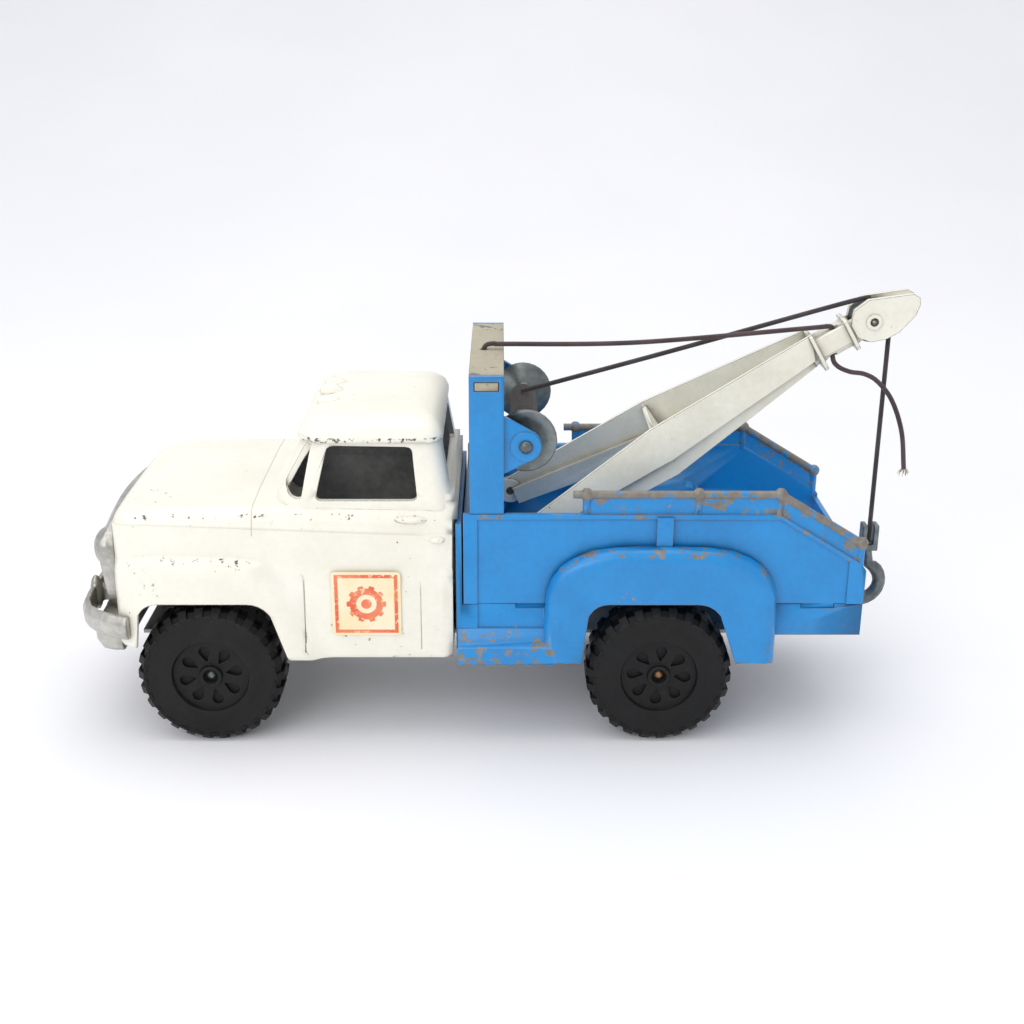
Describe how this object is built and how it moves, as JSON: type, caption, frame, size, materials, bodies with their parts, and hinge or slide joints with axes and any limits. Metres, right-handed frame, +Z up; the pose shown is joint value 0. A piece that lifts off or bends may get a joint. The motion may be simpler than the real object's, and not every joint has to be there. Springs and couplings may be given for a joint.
{
  "type": "toy tow truck",
  "caption": "Die-cast toy tow truck with an open cab, a railed bed, an A-frame boom that lifts, a turning cord winch, a sheave, a hanging hook and rolling wheels.",
  "frame": {"origin": "centre of the footprint of the whole toy, at the plane the wheels stand on", "axes": "+X from the bumper towards the tail, +Y to the right-hand side of its driver, +Z up"},
  "size_m": [0.3304, 0.1074, 0.1702],
  "materials": {
    "cream_paint": "worn enamel, ivory",
    "blue_paint": "worn enamel, bright blue",
    "tan_paint": "dull tan enamel",
    "bright_metal": "dulled bright metal",
    "plate_metal": "dull steel",
    "pin_metal": "tarnished steel",
    "dark_metal": "dark cast metal",
    "black_rubber": "dull black",
    "braided_cord": "braided dark cord",
    "label_paper": "printed paper label"
  },
  "bodies": {
    "truck": {"cab_body": "cream_paint", "grille": "bright_metal", "front_bumper": "bright_metal", "front_valance": "bright_metal", "base_plate": "plate_metal", "rear_body": "blue_paint", "bed": "blue_paint", "mast_leg_left": "blue_paint", "mast_leg_right": "blue_paint", "mast_beam": "tan_paint", "winch_axle": "pin_metal", "axle_front": "pin_metal", "axle_rear": "pin_metal", "rivet_cab_front": "plate_metal", "rivet_cab_rear": "plate_metal", "rivet_bed_front": "plate_metal", "rivet_bed_rear": "plate_metal", "door_label_left": "label_paper", "door_label_right": "label_paper", "stay_cord": "braided_cord", "hoist_cord_span": "braided_cord"},
    "wheel_front_left": {"wheel_front_left": "black_rubber"},
    "wheel_front_right": {"wheel_front_right": "black_rubber"},
    "wheel_rear_left": {"wheel_rear_left": "black_rubber"},
    "wheel_rear_right": {"wheel_rear_right": "black_rubber"},
    "winch": {"winch_spool": "dark_metal", "winch_cord_coil": "braided_cord"},
    "boom": {"boom": "cream_paint", "boom_pivot_pin_left": "pin_metal", "boom_pivot_pin_right": "pin_metal", "sheave_pin": "pin_metal", "stay_cord_tail": "braided_cord"},
    "sheave": {"sheave": "dark_metal"},
    "hoist_line": {"hoist_cord_fall": "braided_cord"},
    "hook": {"hook": "dark_metal"}
  },
  "joints": [
    {"name": "wheel_front_left_spin", "type": "hinge", "parent": "truck", "child": "wheel_front_left", "pos_m": [-0.11135, -0.0425, 0.0285], "axis": [0, 1, 0], "continuous": true},
    {"name": "wheel_front_right_spin", "type": "hinge", "parent": "truck", "child": "wheel_front_right", "pos_m": [-0.11135, 0.0425, 0.0285], "axis": [0, 1, 0], "continuous": true},
    {"name": "wheel_rear_left_spin", "type": "hinge", "parent": "truck", "child": "wheel_rear_left", "pos_m": [0.06355, -0.0425, 0.0285], "axis": [0, 1, 0], "continuous": true},
    {"name": "wheel_rear_right_spin", "type": "hinge", "parent": "truck", "child": "wheel_rear_right", "pos_m": [0.06355, 0.0425, 0.0285], "axis": [0, 1, 0], "continuous": true},
    {"name": "boom_raise", "type": "hinge", "parent": "truck", "child": "boom", "pos_m": [0.00585, 0, 0.076], "axis": [0, -1, 0], "range_deg": [0, 25], "deforming": ["stay_cord", "hoist_cord_span"]},
    {"name": "winch_spin", "type": "hinge", "parent": "truck", "child": "winch", "pos_m": [0.01105, 0, 0.1202], "axis": [0, -1, 0], "range_deg": [0, 610]},
    {"name": "sheave_spin", "type": "hinge", "parent": "boom", "child": "sheave", "pos_m": [0.14715, 0, 0.1592], "axis": [0, -1, 0], "range_deg": [0, 460]},
    {"name": "hook_swing", "type": "hinge", "parent": "boom", "child": "hoist_line", "pos_m": [0.15485, 0, 0.1592], "axis": [0, -1, 0], "range_deg": [-1, 25]},
    {"name": "hook_lift", "type": "slide", "parent": "hoist_line", "child": "hook", "axis": [0, 0, 1], "range_m": [0, 0.06], "deforming": ["hoist_cord_fall"]}
  ],
  "couplings": [
    {"joint": "hook_lift", "follows": "winch_spin", "m_per_rad": 0.0056},
    {"joint": "sheave_spin", "follows": "winch_spin", "ratio": 0.742}
  ]
}
